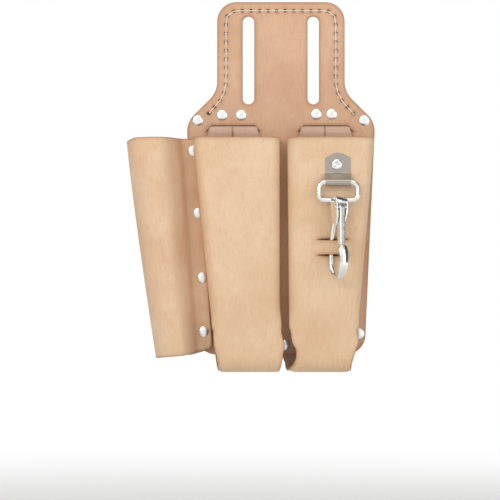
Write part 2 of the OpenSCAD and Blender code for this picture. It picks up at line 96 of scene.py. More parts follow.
def within(points, loops):
    """True where a ray to the right of the point crosses the loops an odd number of times."""
    x, y = points[:, :1], points[:, 1:]
    hits = np.zeros(len(points), int)
    for a in loops:
        b = np.roll(a, -1, 0)
        rise = np.where(b[:, 1] == a[:, 1], 1, b[:, 1] - a[:, 1])
        at = a[:, 0] + (y - a[:, 1]) / rise * (b[:, 0] - a[:, 0])
        hits += (((a[:, 1] > y) != (b[:, 1] > y)) & (x < at)).sum(1)
    return hits % 2 == 1


def to_edge(points, loops):
    """Distance from each point to the nearest side of the loops."""
    best = np.full(len(points), 1e9)
    for a in loops:
        side = np.roll(a, -1, 0) - a
        way = points[:, None] - a
        t = np.clip((way * side).sum(2) / (side ** 2).sum(1), 0, 1)
        best = np.minimum(best, np.linalg.norm(way - t[..., None] * side, axis=2).min(1))
    return best


def finished(name, points, faces, skins, skin_of=None, flat=None, wear=None, smooth=True):
    """Object at the origin from points in millimetres, with its map, wear attribute and materials."""
    mesh = bpy.data.meshes.new(name)
    mesh.from_pydata((np.asarray(points) / 1000).tolist(), [], faces)
    for skin in skins:
        mesh.materials.append(skin)
    if skin_of is not None:
        mesh.polygons.foreach_set("material_index", np.asarray(skin_of, np.int32))
    mesh.polygons.foreach_set("use_smooth", np.full(len(mesh.polygons), smooth))
    if flat is not None:
        corner = np.empty(len(mesh.loops), np.int32)
        mesh.loops.foreach_get("vertex_index", corner)
        layer = mesh.uv_layers.new(name="Flat")
        layer.data.foreach_set("uv", (np.asarray(flat)[corner] / 1000).astype(np.float32).ravel())
    if wear is not None:
        mesh.attributes.new("wear", "FLOAT", "POINT").data.foreach_set("value", wear.astype(np.float32))
    mesh.update()
    piece = bpy.data.objects.new(name, mesh)
    bpy.context.scene.collection.objects.link(piece)
    return piece


def cut_sheet(loops, thick, shape, spacing=2.2, step=1.3, round_over=0.5, awls=0):
    """Sheet cut to loops (outline, then holes) in a flat plan and bent into place by shape(u, v).

    The top face is shape itself. Any point at depth d below it lies at shape - d times the unit
    normal, the cross product of the two slopes. The cut edges are two quarter circles of radius
    round_over with a straight land between. Both faces are Delaunay triangles on staggered rows.
    Returns points, faces, the face's kind (0 top, 1 edge, 2 underside, 3 the walls of the last
    awls holes), the plan and the edge wear.
    """
    rings = [subdivided(turned(np.asarray(loop, float), i == 0), step) for i, loop in enumerate(loops)]
    rims, inwards = np.concatenate(rings), []
    for ring in rings:
        way = np.roll(ring, -1, 0) - np.roll(ring, 1, 0)
        left = np.stack([-way[:, 1], way[:, 0]], 1)
        inwards.append(left / np.linalg.norm(left, axis=1)[:, None])
    inwards = np.concatenate(inwards)
    a = np.radians([0, 30, 60, 90])
    inset = round_over * np.concatenate([1 - np.sin(a), (1 - np.sin(a))[::-1]])
    depth = np.concatenate([round_over * (1 - np.cos(a)), thick - round_over * (1 - np.cos(a))[::-1]])

    low, high = rings[0].min(0), rings[0].max(0)
    us, vs = np.meshgrid(np.arange(low[0], high[0], spacing), np.arange(low[1], high[1], spacing * 0.866))
    us = us + (np.arange(len(vs))[:, None] % 2) * spacing / 2
    field = np.stack([us.ravel(), vs.ravel()], 1)
    field = field[within(field, rings)]
    gap = to_edge(field, rings)
    field, gap = field[gap > spacing * 0.45 + round_over], gap[gap > spacing * 0.45 + round_over]

    total, start, edges, follow = len(rims), 0, [], []
    for ring in rings:
        ids = start + np.arange(len(ring))
        follow.append(np.roll(ids, -1))
        edges += list(zip(ids.tolist(), np.roll(ids, -1).tolist()))
        start += len(ring)
    follow = np.concatenate(follow)
    top = np.concatenate([rims + inset[0] * inwards, field])
    found = delaunay_2d_cdt([Vector(p) for p in top.tolist()], edges, [], 0, 1e-7)
    back = np.array([ids[0] for ids in found[3]])
    tris = back[np.array([list(f) for f in found[2]])]
    p, q, r = top[tris[:, 0]], top[tris[:, 1]], top[tris[:, 2]]
    tris = tris[within((p + q + r) / 3, [top[ids] for ids in np.split(np.arange(total), np.cumsum([len(g) for g in rings])[:-1])])]
    p, q, r = top[tris[:, 0]], top[tris[:, 1]], top[tris[:, 2]]
    area = (q - p)[:, 0] * (r - p)[:, 1] - (q - p)[:, 1] * (r - p)[:, 0]
    tris = np.where((area > 0)[:, None], tris, tris[:, ::-1])[np.abs(area) > 1e-9]

    rows = len(depth)
    plan = np.concatenate([rims + d * inwards for d in inset] + [field, field])
    deep = np.concatenate([np.repeat(depth, total), np.zeros(len(field)), np.full(len(field), thick)])
    shift = np.where(tris >= total, tris + (rows - 1) * total, tris)
    under = np.where(tris >= total, tris + (rows - 1) * total + len(field), tris + (rows - 1) * total)
    i = np.arange(total)
    quads = np.concatenate([np.stack([j * total + i, (j + 1) * total + i, (j + 1) * total + follow, j * total + follow], 1)
                            for j in range(rows - 1)])
    u, v, h = plan[:, 0], plan[:, 1], 0.04
    along = np.stack(shape(u + h, v), 1) - np.stack(shape(u - h, v), 1)
    up = np.stack(shape(u, v + h), 1) - np.stack(shape(u, v - h), 1)
    normal = np.cross(along, up)
    normal /= np.linalg.norm(normal, axis=1)[:, None]
    points = np.stack(shape(u, v), 1) - deep[:, None] * normal
    faces = shift.tolist() + quads.tolist() + under[:, ::-1].tolist()
    plain = sum(len(ring) for ring in rings[:len(rings) - awls])
    kind = np.concatenate([np.zeros(len(tris)), np.where(np.tile(i, rows - 1) < plain, 1, 3), np.full(len(tris), 2)])
    wear = np.concatenate([np.full(rows * total, 1.0), np.exp(-gap / 2.4), np.exp(-gap / 2.4)])
    return points, faces, kind, plan, wear


class Amount:
    """A number that varies over a surface. Arithmetic on it adds the Math nodes that work it out."""

    def __init__(self, finish, socket):
        self.finish, self.socket = finish, socket

    def by(self, operation, a, b, clamp=False):
        return self.finish.add("Math", {"operation": operation, "use_clamp": clamp}, {0: a, 1: b})

    def __add__(self, other):
        return self.by("ADD", self, other)

    def __sub__(self, other):
        return self.by("SUBTRACT", self, other)

    def __rsub__(self, other):
        return self.by("SUBTRACT", other, self)

    def __mul__(self, other):
        return self.by("MULTIPLY", self, other)

    def __pow__(self, other):
        return self.by("POWER", self, other)

    def clamped(self):
        return self.by("ADD", self, 0.0, True)

    __radd__, __rmul__ = __add__, __mul__


class Finish:
    """A material as it is put together."""

    def __init__(self, name):
        self.material = bpy.data.materials.new(name)
        self.material.use_nodes = True
        self.tree = self.material.node_tree
        self.tree.nodes.clear()

    def add(self, kind, settings=None, sockets=None, out=0):
        """One node: its settings or ramp stops first, then its sockets' values or links."""
        node = self.tree.nodes.new("ShaderNode" + kind)
        for key, value in (settings or {}).items():
            if key == "stops":
                while len(node.color_ramp.elements) < len(value):
                    node.color_ramp.elements.new(0.5)
                for stop, (place, colour) in zip(node.color_ramp.elements, value):
                    stop.position, stop.color = place, (*colour, 1)
            else:
                setattr(node, key, value)
        for key, value in (sockets or {}).items():
            if isinstance(value, Amount):
                self.tree.links.new(value.socket, node.inputs[key])
            else:
                node.inputs[key].default_value = value
        return Amount(self, node.outputs[out])

    def blend(self, factor, a, b):
        """Colour that goes from a to b with factor."""
        sockets = {0: factor, 6: a if isinstance(a, Amount) else (*a, 1), 7: b if isinstance(b, Amount) else (*b, 1)}
        return self.add("Mix", {"data_type": "RGBA"}, sockets, 2)

    def noise(self, place, scale, detail=3.0, rough=0.55):
        return self.add("TexNoise", {}, {"Vector": place, "Scale": scale, "Detail": detail, "Roughness": rough})

    def surface(self, sockets):
        """Closes the material with one Principled shader."""
        shader = self.add("BsdfPrincipled", {}, sockets)
        self.tree.links.new(shader.socket, self.tree.nodes.new("ShaderNodeOutputMaterial").inputs[0])
        return self.material


def tone(red, green, blue):
    """Linear colour of an 8-bit display colour, by the 2.4 power curve."""
    c = np.array([red, green, blue]) / 255
    return tuple(np.where(c <= 0.04045, c / 12.92, ((c + 0.055) / 1.055) ** 2.4).tolist())


def grain_leather(name, light, warm, dark):
    """Grain side: clouds of two shades, a few growth marks, burnished edges, fine pores and creases."""
    f = Finish(name)
    at = f.add("TexCoord", out="UV")
    cloud = f.noise(at, 16, 3, 0.6)
    streak = f.noise(f.add("Mapping", {}, {"Vector": at, "Scale": (95, 22, 60)}), 1.0, 4, 0.65)
    fleck = f.noise(at, 900, 2, 0.7)
    pores = f.add("TexVoronoi", {"feature": "F1"}, {"Vector": at, "Scale": 1150, "Randomness": 1.0})
    web = f.add("TexVoronoi", {"feature": "DISTANCE_TO_EDGE"}, {"Vector": at, "Scale": 520, "Randomness": 1.0})
    crease = f.noise(at, 240, 5, 0.62)
    mottle = f.add("MapRange", {}, {"Value": f.noise(at, 170, 4, 0.72), "From Min": 0.4, "From Max": 0.68})
    weft = f.noise(f.add("Mapping", {}, {"Vector": at, "Scale": (1.0, 0.16, 1.0)}), 620, 3, 0.6)
    worn = f.add("Attribute", {"attribute_name": "wear"}, out="Fac")
    shade = f.add("MapRange", {}, {"Value": cloud, "From Min": 0.36, "From Max": 0.66})
    colour = f.blend(shade, light, warm)
    colour = f.blend((f.add("MapRange", {}, {"Value": streak, "From Min": 0.45, "From Max": 0.8}) * 0.42), colour, warm)
    colour = f.blend((f.add("MapRange", {}, {"Value": fleck, "From Min": 0.5, "From Max": 0.78}) * 0.3), colour, dark)
    colour = f.blend(mottle * 0.3, colour, warm)
    colour = f.blend(f.add("MapRange", {}, {"Value": weft, "From Min": 0.5, "From Max": 0.72}) * 0.2, colour, dark)
    mark = f.add("MapRange", {}, {"Value": f.noise(at, 48, 5, 0.75), "From Min": 0.66, "From Max": 0.76})
    colour = f.blend(mark * 0.22, colour, dark)
    colour = f.blend((worn ** 1.5 * (cloud * 0.4 + 0.45)).clamped(), colour, dark)
    rough = f.add("MapRange", {}, {"Value": crease, "From Min": 0.3, "From Max": 0.7, "To Min": 0.46, "To Max": 0.62})
    height = crease * 0.8 + pores * 0.35 + web * 0.5 + fleck * 0.25 + mottle * 0.4
    bump = f.add("Bump", {}, {"Strength": 0.5, "Distance": 0.0004, "Height": height})
    return f.surface({"Base Color": colour, "Roughness": rough - worn * 0.1, "Normal": bump,
                      "Specular IOR Level": 0.32, "Sheen Weight": 0.05, "Sheen Roughness": 0.5})


def cut_leather(name, light, dark):
    """Cut edge: the fibres of the hide's middle, burnished smooth along the two rims."""
    f = Finish(name)
    at = f.add("TexCoord", out="Object")
    fibre = f.noise(f.add("Mapping", {}, {"Vector": at, "Scale": (1, 2.5, 1)}), 1400, 4, 0.7)
    patch = f.noise(at, 90, 3, 0.6)
    colour = f.blend((fibre * 0.6 + patch * 0.5 - 0.1).clamped(), dark, light)
    bump = f.add("Bump", {}, {"Strength": 0.5, "Distance": 0.00025, "Height": fibre})
    return f.surface({"Base Color": colour, "Roughness": 0.5 + fibre * 0.3, "Normal": bump, "Specular IOR Level": 0.25})


def flesh_leather(name, light, dark):
    """Flesh side: suede with a short nap, loose fibres and soft clouds of shade."""
    f = Finish(name)
    at = f.add("TexCoord", out="Object")
    nap = f.noise(at, 1500, 5, 0.8)
    clump = f.noise(at, 260, 4, 0.7)
    cloud = f.noise(at, 30, 3, 0.6)
    colour = f.blend((cloud * 0.7 + clump * 0.6 - 0.15).clamped(), dark, light)
    colour = f.blend(f.add("MapRange", {}, {"Value": nap, "From Min": 0.52, "From Max": 0.75}) * 0.35, colour, dark)
    bump = f.add("Bump", {}, {"Strength": 0.6, "Distance": 0.0005, "Height": nap * 0.6 + clump * 0.7})
    return f.surface({"Base Color": colour, "Roughness": 0.88, "Normal": bump,
                      "Specular IOR Level": 0.15, "Sheen Weight": 0.25, "Sheen Roughness": 0.6})


panel_grain = grain_leather("panel_grain", tone(219, 182, 150), tone(207, 164, 131), tone(168, 118, 85))
hide_edge = cut_leather("hide_edge", tone(205, 168, 132), tone(150, 104, 72))
# Walls of the awl holes: the cut edge's fibres in near-black browns, painted shade for the dark inside of each hole.
hole_painted_shade = cut_leather("awl_hole", tone(70, 46, 32), tone(38, 24, 17))
hide_flesh = flesh_leather("hide_flesh", tone(220, 190, 168), tone(190, 150, 126))

panel_half = np.concatenate([arc(38.5, 33.8, 16.5, 90, 0), arc(77, -18, 22, 180, 225), arc(61, -61.4, 20, 45, 0),
                             arc(56, -237, 17, 0, -90)])
belt_slots = [np.concatenate([arc(s * 28, 33, 5, 0, 180), arc(s * 28, -33, 5, 180, 360)]) for s in (-1, 1)]
tongue_x = [(-59.5, -23), (19.8, 57.3)]
tongue_slits = [np.array([(a, -56.3), (b, -56.3), (b + 5, -61.5), (a - 5, -61.5)]) for a, b in tongue_x]
tab_rivet_at = [(-50.8, -47.4), (-34.3, -47.4), (30.5, -46.6), (43.8, -46.6)]
shoulder_rivet_at = [(-72, -52), (72, -52)]
sleeve_rivet_at = [(-76, -78.5), (-71.4, -132), (-67.8, -187.6), (-66.8, -234.1)]
bottom_rivet_at = [(3.4, -246), (67.5, -236)]

# The seam's awl holes lie 7.4 mm apart, 7.6 mm inside the tab's edge
seam_half = subdivided(np.concatenate([[(0, 42.7)], arc(38.5, 33.8, 8.9, 90, 0), arc(77, -18, 29.6, 180, 225), [(65.5, -49.3)]]), 0.2)
seam_half = seam_half[:np.argmin(np.linalg.norm(seam_half - [65.5, -49.3], axis=1)) + 1]
seam_run = np.concatenate([[0], np.cumsum(np.linalg.norm(np.diff(seam_half, axis=0), axis=1))])
seam_stop = np.arange(3.7, seam_run[-1], 7.4)
awl_half = np.stack([np.interp(seam_stop, seam_run, seam_half[:, k]) for k in (0, 1)], 1)
awl_at = np.concatenate([awl_half[::-1] * [-1, 1], awl_half])


def dimples(u, v, places, depth=0.4, reach=6.5):
    """Bell-shaped hollows, depth times exp(-(distance / reach)²), where rivets pull the hide in."""
    return sum(depth * np.exp(-((u - x) ** 2 + (v - z) ** 2) / reach ** 2) for x, z in places)


def panel_face(u, v):
    """Flat at 5.2 mm from the back, with slow waves of a fifth of a millimetre and rivet dimples."""
    pulled = dimples(u, v, tab_rivet_at + shoulder_rivet_at + bottom_rivet_at)
    return u, -5.2 + 0.12 * ripple(u, v, 3) + pulled, v


awl_holes = [arc(x, z, 1.0, 0, 315, 8) for x, z in awl_at]
points, faces, kind, plan, wear = cut_sheet([np.concatenate([panel_half, mirror(panel_half)])] + belt_slots + tongue_slits + awl_holes,
                                            2.7, panel_face, awls=len(awl_holes))
hide_skins = [panel_grain, hide_edge, hide_flesh, hole_painted_shade]
back_panel = finished("panel_hide", points, faces, hide_skins, kind, plan, wear)
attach(back_panel, "pouch")
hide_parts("back_panel")

# --------------------------------------------------------------- tab backing
# Second layer of the same hide behind the belt tab, 2.2 mm thick, flesh side in. It ends
# just under the slits and is notched round the pockets' tongues, and the seam holds it.

notches = [np.array([(b + 1.4, -61.8), (b + 1.4, -43.6), (b - 2.6, -39.6), (a + 2.6, -39.6), (a - 1.4, -43.6), (a - 1.4, -61.8)])
           for a, b in tongue_x[::-1]]
backing_half = np.concatenate([panel_half[:-15], [(80.9, -60.8), (80, -61.8)]])
backing_outline = np.concatenate([backing_half] + notches + [mirror(backing_half)])


def backing_face(u, v):
    """Plane y = 0 seen from behind, so u runs to the left, with rivet dimples."""
    return -u, 0.1 * ripple(u, v, 4) - 0.1 - dimples(-u, v, shoulder_rivet_at, 0.25), v


clear_awls = [hole for hole, gap in zip(awl_holes, to_edge(awl_at, [backing_outline])) if gap > 2.4]
points, faces, kind, plan, wear = cut_sheet([mirror(loop) for loop in [backing_outline] + belt_slots + clear_awls], 2.2, backing_face,
                                            awls=len(clear_awls))
backing = finished("backing_hide", points, faces, hide_skins, kind, plan, wear)
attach(backing, "pouch")
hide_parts("tab_backing")

# -------------------------------------------------------------- tab stitching
# Saddle stitch in waxed linen thread, 0.8 mm thick: each stitch lies between two awl
# holes and dives into both, on the front and again on the back.


def swept(path, side_a, side_b, half_a, half_b, sides=12, closed=False):
    """Closed skin round a path: each ring is path + half_a cos(t) side_a + half_b sin(t) side_b.
    An open path ends in a pole at each end."""
    t = np.linspace(0, 2 * math.pi, sides, endpoint=False)
    half_a, half_b = np.broadcast_to(half_a, len(path)), np.broadcast_to(half_b, len(path))
    rings = (path[:, None] + (half_a[:, None] * np.cos(t))[..., None] * side_a[:, None]
             + (half_b[:, None] * np.sin(t))[..., None] * side_b[:, None])
    rows, j = len(path), np.arange(sides)
    i = np.arange(rows if closed else rows - 1)[:, None]
    a, b = i * sides + j, i * sides + (j + 1) % sides
    c, d = (i + 1) % rows * sides + (j + 1) % sides, (i + 1) % rows * sides + j
    faces = np.stack([a, b, c, d], 2).reshape(-1, 4).tolist()
    points = rings.reshape(-1, 3)
    if not closed:
        n = rows * sides
        points = np.concatenate([points, path[:1], path[-1:]])
        faces += np.stack([np.full(sides, n), (j + 1) % sides, j], 1).tolist()
        faces += np.stack([np.full(sides, n + 1), (rows - 1) * sides + j, (rows - 1) * sides + (j + 1) % sides], 1).tolist()
    return points, faces


def joined(parts):
    """One list of points and faces from many, each part's faces counted on from the last."""
    points, faces, start = [], [], 0
    for p, f in parts:
        points.append(p)
        faces += [[k + start for k in face] for face in f]
        start += len(p)
    return np.concatenate(points), faces


def stitch(a, b, face, way):
    """One stitch from a to b. Its height over the hide is 0.3 mm times a flat-topped arch, and it
    ends 1.1 mm below the surface; way is -1 on the front and +1 on the back."""
    t = np.linspace(0, 1, 15)
    out = way * (0.32 - 1.6 * np.abs(2 * t - 1) ** 7)
    flat = np.asarray(a) + t[:, None] * (np.asarray(b) - a)
    path = np.stack([flat[:, 0], face + out, flat[:, 1]], 1)
    run = np.asarray(b) - a
    across = np.array([-run[1], 0, run[0]]) / np.hypot(*run) * way
    side = np.repeat(across[None], 15, 0)
    slope = np.gradient(path, axis=0)
    up = np.cross(slope, side)
    up /= np.linalg.norm(up, axis=1)[:, None]
    return swept(path, side, up, 0.42, 0.4, 8)


def thread_finish():
    """Waxed thread: pale straw with darker plies, and a fine cord of ridges along it."""
    f = Finish("waxed_thread")
    at = f.add("TexCoord", out="Object")
    ply = f.add("TexWave", {"wave_type": "BANDS", "bands_direction": "DIAGONAL"}, {"Vector": at, "Scale": 420, "Distortion": 1.0})
    dirt = f.noise(at, 300, 3, 0.6)
    colour = f.blend((ply * 0.45 + dirt * 0.5 - 0.1).clamped(), tone(236, 220, 196), tone(255, 250, 240))
    bump = f.add("Bump", {}, {"Strength": 0.5, "Distance": 0.0002, "Height": ply})
    return f.surface({"Base Color": colour, "Roughness": 0.55 + dirt * 0.2, "Normal": bump})


pairs = list(zip(awl_at[:-1], awl_at[1:]))
stitches = joined([stitch(a, b, -5.2, -1) for a, b in pairs] + [stitch(a, b, -0.05, 1) for a, b in pairs])
seam = finished("tab_seam", *stitches, [thread_finish()])
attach(seam, "pouch")
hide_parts("tab_stitching")

# ----------------------------------------------------- rivets and their washers
# Nickel-plated steel rivets: a domed cap with a rolled rim on a 3 mm shank, peened over
# a washer at the back. Each set has its own object.

CAP = [(0, 1.42), (0.8, 1.4), (1.6, 1.33), (2.4, 1.2), (3.2, 1.0), (3.8, 0.78), (4.25, 0.56), (4.55, 0.34), (4.68, 0.12),
       (4.66, -0.08), (4.4, -0.2), (1.6, -0.2), (1.5, -0.3)]
WASHER = [(0, 0.42), (0.7, 0.4), (1.3, 0.3), (1.75, 0.12), (1.9, 0.02), (2.5, 0.03), (3.7, 0.03), (4.05, -0.03), (4.2, -0.18),
          (4.2, -0.7), (4.1, -0.8), (0, -0.8)]


def lathed(profile, x, y, z, way, sides=40):
    """Profile of radius and height turned about the line through (x, z) along y; way -1 faces front."""
    profile = np.array(profile, float)
    radius, height = profile[:, 0], profile[:, 1]
    path = np.stack([np.full(len(profile), x), y + way * height, np.full(len(profile), z)], 1)
    ex, ez = np.repeat([[1.0, 0, 0]], len(profile), 0), np.repeat([[0, 0, float(way)]], len(profile), 0)
    return swept(path, ex, ez, np.maximum(radius, 1e-4), np.maximum(radius, 1e-4), sides)


def nickel_finish(name, bright, dull, rough_low, rough_high):
    """Plated metal: clouds of slightly dull plating, hairline scratches and specks of dirt."""
    f = Finish(name)
    at = f.add("TexCoord", out="Object")
    cloud = f.noise(at, 120, 4, 0.65)
    hair = f.noise(f.add("Mapping", {}, {"Vector": at, "Rotation": (0.3, 0.5, 0.7), "Scale": (1, 1, 24)}), 260, 3, 0.7)
    speck = f.add("MapRange", {}, {"Value": f.noise(at, 900, 3, 0.6), "From Min": 0.64, "From Max": 0.74})
    colour = f.blend((cloud * 0.7 + speck * 0.25 - 0.2).clamped(), bright, dull)
    rough = f.add("MapRange", {}, {"Value": cloud * 0.6 + hair * 0.4, "From Min": 0.35, "From Max": 0.65,
                                   "To Min": rough_low, "To Max": rough_high})
    bump = f.add("Bump", {}, {"Strength": 0.05, "Distance": 0.00005, "Height": hair * 0.6 + cloud * 0.4})
    return f.surface({"Base Color": colour, "Metallic": 1.0, "Roughness": rough, "Normal": bump})


rivet_nickel = nickel_finish("rivet_nickel", (0.98, 0.98, 0.97), (0.88, 0.87, 0.85), 0.26, 0.36)


def rivet_set(name, nodes, caps, washers):
    """Caps on the front and washers at the back, as [(x, z), y] lists, each set one object."""
    for label, node, profile, places, way in ((name, nodes[0], CAP, caps, -1), (name + "_washers", nodes[1], WASHER, washers, 1)):
        shanks = [lathed([(0, 0), (1.5, 0), (1.5, -5), (0, -5)], x, y, z, -1) for (x, z), y in places] if way < 0 else []
        piece = finished(label, *joined([lathed(profile, x, y, z, way) for (x, z), y in places] + shanks), [rivet_nickel])
        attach(piece, "pouch")
        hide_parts(node)


rivet_set("tongue_rivets", ("tab_rivets", "tab_rivet_washers"), [(p, -5.0) for p in tab_rivet_at], [(p, 0) for p in tab_rivet_at])
rivet_set("shoulder_pair", ("shoulder_rivets", "shoulder_rivet_washers"),
          [(p, -5.0) for p in shoulder_rivet_at], [(p, 0) for p in shoulder_rivet_at])
rivet_set("sleeve_row", ("sleeve_rivets", "sleeve_rivet_washers"), [(p, -9.9) for p in sleeve_rivet_at],
          [(p, -1.6) for p in sleeve_rivet_at[:3]] + [(sleeve_rivet_at[3], 0)])
rivet_set("flap_rivets", ("bottom_rivets", "bottom_rivet_washers"),
          [(p, -5.0) for p in bottom_rivet_at], [(p, 0) for p in bottom_rivet_at])

# ------------------------------------------------------- left pliers pocket
# One blank of 2.4 mm hide, grain side out: its two ends butt together down the middle of
# the back and run up as a tongue through the slit, and its foot folds under the panel.

GUSSET, MOUTH, FOLD, FOLD_R = -232.0, -67.0, -254.2, 14.6
ARC_8, ARC_3, WALL = 4 * math.pi, 1.5 * math.pi, 13.0


def pocket_plan(x_foot, x_top, leans, seam_x):
    """Flat plan of a pocket, measured at its foot: returns the front's two ends and the blank's
    two ends, and a function that finds where a mouth-high x on the back falls in the plan."""
    a, b = x_foot[0] + 8, x_foot[1] - 8
    turn = ARC_8 + WALL + ARC_3
    backs = [seam_x - (x_foot[0] + leans[0] + 3), (x_foot[1] - leans[1] - 3) - seam_x]
    tops = [seam_x - (x_top[0] + leans[0] + 3), (x_top[1] - leans[1] - 3) - seam_x]

    def on_back(side, x):
        share = abs(x - seam_x) / tops[side]
        return (a - turn - backs[0] * (1 - share)) if side == 0 else (b + turn + backs[1] * (1 - share))
    return a, b, a - turn - backs[0], b + turn + backs[1], on_back


def pocket_face(x_foot, x_top, leans, seam_x, plate, fold_x, swell):
    """Grain face of a pocket over its plan.

    u is x along the front at the foot and, past each end, the distance round an 8 mm corner, along
    the side wall, round a 3 mm corner and along the back to the seam. v is height. Foot and mouth
    plans are joined by straight lines. Below the gusset the corners open out flat; below FOLD the
    front rolls under on a half circle of FOLD_R, a little tighter at its two ends, and runs up
    behind the panel. plate holds the front's two edges above the fold, past which x gains a
    twentieth of u, easing to all of it on the flap behind; fold_x holds the fold's own edges. Above
    the slit the ends slip from the panel's front to its back. swell(x, z) pushes the front out.
    """
    def face(u, v):
        k = np.clip((v - GUSSET) / (MOUTH - GUSSET), 0, 1)
        a, b = x_foot[0] + 8, x_foot[1] - 8
        left, right = x_foot[0] + (x_top[0] - x_foot[0]) * k, x_foot[1] + (x_top[1] - x_foot[1]) * k
        t = np.clip((u - a) / (b - a), 0, 1)
        x = left + 8 + (right - left - 16) * t
        y = np.full(np.shape(u), -29.2)
        for side, s, edge, lean in ((1, a - u, left, leans[0]), (-1, u - b, right, leans[1])):
            end = (x_foot[0], x_foot[1])[side < 0]
            back = abs(seam_x - (end + side * (lean + 3)))
            back_k = np.abs(seam_x - (edge + side * (lean + 3)))
            p = np.clip(s, 0, ARC_8) / 8
            q = np.clip(s - ARC_8, 0, WALL)
            r = np.clip(s - ARC_8 - WALL, 0, ARC_3) / 3
            w = np.maximum(s - ARC_8 - WALL - ARC_3, 0)
            sx = edge + side * (8 - 8 * np.sin(p) + lean * ease(q / WALL) + 3 * (1 - np.cos(r)) + w * back_k / back)
            sy = -29.2 + 8 * (1 - np.cos(p)) + q + 3 * np.sin(r)
            x, y = np.where(s > 0, sx, x), np.where(s > 0, sy, y)
        open_out = 0.45 * ease((GUSSET + 26 - v) / 26) + 0.55 * ease((GUSSET - v) / 14)
        past = np.maximum(np.maximum(a - u, u - b) - ARC_8, 0)
        hold = np.clip(1 - past / WALL, 0, 1)
        flat_x = np.clip(u, *plate)
        flat_x = flat_x + (u - flat_x) * (0.05 + 0.95 * ease((FOLD - 4 - v) / 14))
        x = x + (flat_x - x) * open_out * hold
        y = y + (-29.2 + past * 21 / WALL - y) * open_out * (hold > 0)
        facing = np.clip((-17 - y) / 12.2, 0, 1) ** 1.5
        y = y - facing * swell(x, v)
        behind = (np.maximum(a - u, u - b) > ARC_8 + WALL) & (v > MOUTH)
        y = np.where(behind, y + 5.2 * ease((v + 61.7) / 5.5), y)
        under = np.clip((FOLD - v) / FOLD_R, 0, math.pi)
        y = np.where(v < FOLD, -FOLD_R - FOLD_R * np.cos(under), y)
        curl = 1.5 * (np.exp(-(u - fold_x[0]) ** 2 / 8) + np.exp(-(u - fold_x[1]) ** 2 / 8))
        z = np.where(v < FOLD, FOLD - (FOLD_R - curl) * np.sin(under) + np.maximum(FOLD - v - math.pi * FOLD_R, 0), v)
        return x, y, z
    return face


def rear(z):
    """Where a height on the flap behind the panel falls in the plan: past the half circle of the fold."""
    return FOLD - math.pi * FOLD_R - (z - FOLD)


pocket_grain = grain_leather("pocket_grain", tone(232, 202, 168), tone(222, 186, 148), tone(188, 138, 98))

left_foot, left_top, left_leans, left_seam = (-59.2, -1.2), (-75.7, -1.2), (4.5, 1.5), -41.3
a, b, end_l, end_r, on_back = pocket_plan(left_foot, left_top, left_leans, left_seam)
left_blank = np.array(
    [(end_l + 0.04, GUSSET), (end_l + 0.04, -40), (on_back(0, -56.6), -40), (on_back(0, -60.4), -44), (on_back(0, -60.4), -56.6),
     (on_back(0, -63.0), -61.4), (on_back(0, -65.6), MOUTH - 0.5), (a - 14, MOUTH), (a, MOUTH + 0.2), (-25, MOUTH + 0.1), (b, MOUTH),
     (on_back(1, -16.6), MOUTH - 0.5), (on_back(1, -19.6), -61.4), (on_back(1, -22.1), -56.6), (on_back(1, -22.1), -44), (on_back(1, -26), -40),
     (end_r - 0.04, -40), (end_r - 0.04, GUSSET), (2.4, GUSSET), (2.6, -246), (1.6, FOLD), (0.5, FOLD - 8), (-1.5, FOLD - 22),
     (-3.3, rear(-252)), (-3.3, rear(-226)), (-7.5, rear(-222)), (-66, rear(-222)), (-70, rear(-226)), (-70, rear(-242)),
     (-57, rear(-252)), (-54, FOLD - 22), (-54.4, FOLD - 8), (-55.6, FOLD), (-57.6, -245.5), (-59.2, GUSSET)])


def left_swell(x, z):
    """Up to 2.6 mm of belly over the width, fading to the foot, with slow waves."""
    t = (x + 36) / 38
    tall = ease((z - FOLD) / 60) * (0.75 + 0.25 * ease((MOUTH - z) / 60))
    return 2.6 * np.clip(1 - t * t, 0, 1) * tall + 0.35 * ripple(x, z, 8) * ease((z - FOLD) / 14)


def blank_mesh(name, loops, face, skins, thick=2.4, **more):
    """A hide cut to loops and bent by face, as a finished object."""
    points, faces, kind, plan, wear = cut_sheet(loops, thick, face, **more)
    return finished(name, points, faces, skins, kind, plan, wear)


left_pocket = blank_mesh("left_pocket_hide", [left_blank],
                         pocket_face(left_foot, left_top, left_leans, left_seam, (-59.2, 2.5), (-55, 1), left_swell),
                         [pocket_grain, hide_edge, hide_flesh])
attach(left_pocket, "pouch")
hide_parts("left_pliers_pocket")
